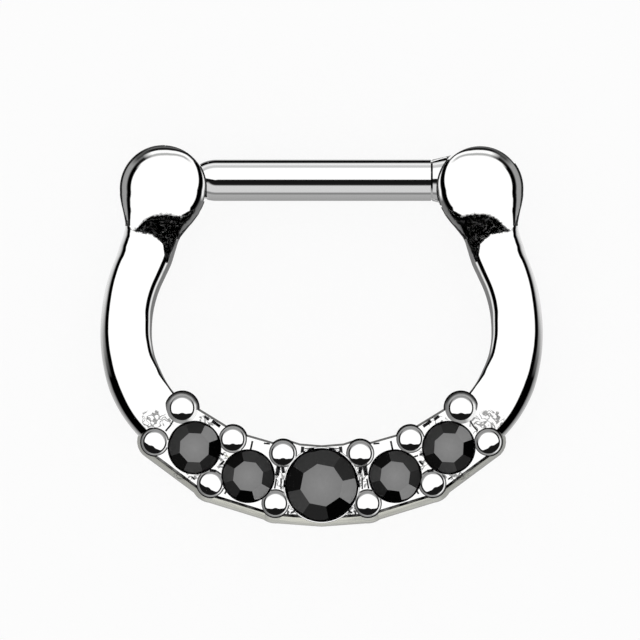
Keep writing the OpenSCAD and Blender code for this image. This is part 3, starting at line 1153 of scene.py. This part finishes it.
ballLook = {
    "lean": [(-180, 24), (-140, 24), (-120, 17), (-105, 15), (-92, 15), (-65, -4), (-45, -20), (-32, -17),
             (-12, -3), (0, 0), (96, 0), (106, -7), (115, -13), (127, -19), (145, -27), (168, -27),
             (180, 24)],
    "outer": [(-90, 0.05), (-66, 0.012), (-54, 0.012), (-50, 0.25), (-46, 0.29), (-26, 0.3), (-22, 0.1),
              (-19, 0), (-6, 0), (-3, 1), (90, 1)],
    "inner": [(-90, 0.1), (-71, 0.1), (-65, 0.75), (-56, 0.95), (-52, 0.1), (-49, 0), (-30, 0), (-27, 1),
              (90, 1)],
    "top": [(-90, 0.07), (-61, 0.06), (-56, 0.11), (-51, 0.12), (-47, 0.02), (-44, 0.01), (-35, 0.01),
            (-31, 1), (-21, 1), (-16, 0.4), (-11, 0.4), (-5, 1), (90, 1)],
    "bottom": [(-90, 0.2), (-55, 0.14), (-49, 0.02), (-45, 0), (-30, 0), (-27, 1), (90, 1)],
    "shoulder": [(-90, 0), (-58, 0), (-51, 0.08), (-42, 0.08), (-35, 0.04), (-28, 0.12), (-24, 0.12),
                 (-20, 0.01), (-11, 0.01), (-7, 1), (90, 1)],
    "topFrom": (-48, -36, 33, 18),
    "bottomFrom": (-98, -108, 176, 179),
    "shoulderFrom": (0, 5, 54, 41),
}
armLook = {
    "lean": [(-180, 10), (-112, 8), (-106, 7), (-100, 3), (-94, -6), (-88, -10), (-84, -14), (-78, -17),
             (-72, -22), (-65, -36), (-57, -46), (0, -20), (60, -11), (68, -10), (74, -5), (80, 0),
             (90, 4), (97, 10), (107, 16), (123, 18), (180, 20)],
    "outer": [(-90, 0.75), (-50, 0.72), (-38, 0.62), (-29, 0.45), (-22, 0.12), (-19, 0), (-1, 0), (2, 1),
              (90, 1)],
    "inner": [(-90, 0.2), (-42, 0.17), (-38, 0.3), (-33, 0.75), (-26, 0.8), (-22, 0.1), (-20, 0), (-1, 0),
              (2, 1), (90, 1)],
    "top": [(-90, 0.2), (-24, 0.18), (-19, 0.02), (-16, 0), (-1, 0), (2, 1), (90, 1)],
    "bottom": [(-90, 0.5), (-70, 0.4), (-58, 0.3), (-49, 0.2), (-43, 0.02), (-40, 0), (-1, 0), (2, 1),
               (90, 1)],
    "topFrom": (-82, -74, 50, 40),
    "bottomFrom": (-116, -122, 80, 104),
}
levelLean = [(-180, 0), (180, 0)]
settingLook = {
    "lean": levelLean,
    "outer": [(-90, 0.3), (-66, 0.35), (-60, 0.3), (-54, 0.4), (-44, 0.45), (-38, 0.85), (-30, 0.85),
              (-26, 0.1), (-20, 0), (-1, 0), (1, 1), (90, 1)],
    "inner": [(-90, 0.3), (-66, 0.35), (-60, 0.3), (-54, 0.4), (-46, 0.42), (-40, 0.22), (-28, 0.2),
              (-24, 0.1), (-20, 0), (-1, 0), (1, 1), (90, 1)],
    "top": [(-90, 0.12), (-45, 0.15), (-38, 0.4), (-30, 0.35), (-26, 0.05), (-22, 0), (-3, 0), (0, 1),
            (90, 1)],
    "bottom": [(-90, 0.35), (-76, 0.38), (-70, 0.48), (-64, 0.44), (-56, 0.6), (-50, 0.6), (-44, 0.7),
               (-37, 0.3), (-28, 0.3), (-24, 0.05), (-22, 0), (-1, 0), (2, 1), (90, 1)],
    "topFrom": (-78, -60, 78, 60),
    "bottomFrom": (-139, -162, 139, 162),
}
barEndStrip = [(-90, 0.1), (-72, 0.02), (-66, 0), (90, 0.006)]
barLook = {
    "lean": levelLean,
    "outer": barEndStrip,
    "inner": barEndStrip,
    "top": [(-90, 0.3), (-57, 0.25), (-52, 0), (-27, 0), (-19, 0.7), (-10, 0.85), (2, 0.54), (12, 0.54),
            (20, 1), (85, 1), (88, 0.01), (90, 0.006)],
    "bottom": [(-90, 0.3), (-52, 0.32), (-2, 0.38), (4, 0.22), (13, 0.22), (20, 0.6), (56, 0.62),
               (64, 0.01), (90, 0.006)],
    "topFrom": (-76, -68, 76, 68),
    "bottomFrom": (-104, -112, 104, 112),
}
beadStrip = [(-90, 0.008), (-2, 0.008), (1, 1), (90, 1)]
beadLook = {
    "lean": [(-180, 47), (-164, 43), (-154, 32), (-145, 23), (-134, 12), (-127, -2), (-121, -20),
             (-115, -30), (115, -30), (121, -20), (127, -2), (134, 12), (145, 23), (154, 32), (164, 43),
             (180, 47)],
    "outer": beadStrip,
    "inner": beadStrip,
    "top": [(-90, 0.1), (0, 0.3), (12, 0.45), (20, 1), (90, 1)],
    "bottom": beadStrip,
    "topFrom": (-72, -37, 72, 37),
    "bottomFrom": (-107, -143, 107, 143),
}
stoneStrip = [(-90, 0), (40, 0), (60, 0.3), (90, 0.3)]
stoneLook = {
    "lean": levelLean,
    "outer": stoneStrip,
    "inner": stoneStrip,
    "top": stoneStrip,
    "bottom": stoneStrip,
    "topFrom": (-72, -37, 72, 37),
    "bottomFrom": (-107, -143, 107, 143),
}
turnedOut = 28                    # degrees that the dark crescent of the outer beads is turned outwards
outerRight = [obj for obj, (x, y) in zip(beads, places) if x > 3 and y < -3.6]
outerLeft = [obj for obj, (x, y) in zip(beads, places) if x < -3 and y < -3.6]
middleBeads = [obj for obj in beads if obj not in outerRight + outerLeft]
tents = [
    # name, the pieces that mirror it, its look, outer side of the ring (1 right, -1 left), turn in degrees
    ("ballTentRight", [ballRight], ballLook, 1, 0),
    ("ballTentLeft", [ballLeft], ballLook, -1, 0),
    ("armTentRight", [armRight], armLook, 1, 0),
    ("armTentLeft", [armLeft], armLook, -1, 0),
    ("settingTent", [plate], settingLook, 1, 0),
    ("barTent", [postBar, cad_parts["hinge_pin"]], barLook, 1, 0),
    ("beadTent", middleBeads, beadLook, 1, 0),
    ("beadTentRight", outerRight, beadLook, 1, turnedOut),
    ("beadTentLeft", outerLeft, beadLook, 1, -turnedOut),
    ("stoneTent", stonePieces, stoneLook, 1, 0),
]
widest, closer = studio["tent"]
for i, (name, receivers, look, outerSide, turn) in enumerate(tents):
    lightTent(name, widest - closer * i, receivers, look, outerSide, turn)


tableTop = {
    "size": 4,                    # metres
    "drop": 0.01,                 # below the back of the ring, mm
    "grey": 0.07,
    "glow": 0.905,                # it is lit from below, as a light table is
    "roughness": 0.9,
}
paleTable = newFinish("paleTable", {
    "Base Color": (tableTop["grey"],) * 3 + (1,), "Roughness": tableTop["roughness"],
    "Specular IOR Level": 0, "Emission Color": (1, 1, 1, 1), "Emission Strength": tableTop["glow"]})
bpy.ops.object.select_all(action="DESELECT")
bpy.ops.mesh.primitive_plane_add(size=tableTop["size"], location=point(0, 0, -tableTop["drop"]))
table = bpy.context.object
table.name = table.data.name = "paleTable"
table.data.materials.append(paleTable)
table.visible_glossy = False

world = bpy.data.worlds.new("room")
bpy.context.scene.world = world
world.use_nodes = True
rays = world.node_tree.nodes.new("ShaderNodeLightPath")
soft = mathNode(world.node_tree, "SUBTRACT", studio["room"], rays.outputs["Is Glossy Ray"])
fill(world.node_tree, world.node_tree.nodes["Background"], {"Color": (1, 1, 1, 1), "Strength": soft})

view = {
    "middle": (-0.056, 0.557, 1.5),
    "width": 22.26,               # mm that the picture shows from side to side
    "distance": 300,
    "sensor": 36,
    "clip": (0.01, 10),           # metres
}
camera = bpy.data.cameras.new("camera")
camera.sensor_width = view["sensor"]
camera.lens = view["sensor"] * view["distance"] / view["width"]
camera.clip_start, camera.clip_end = view["clip"]
cameraObject = bpy.data.objects.new("camera", camera)
bpy.context.scene.collection.objects.link(cameraObject)
cameraObject.location = point(*view["middle"]) + point(0, 0, view["distance"])
bpy.context.scene.camera = cameraObject
bpy.context.scene.view_settings.view_transform = "Standard"
print("studio ready")
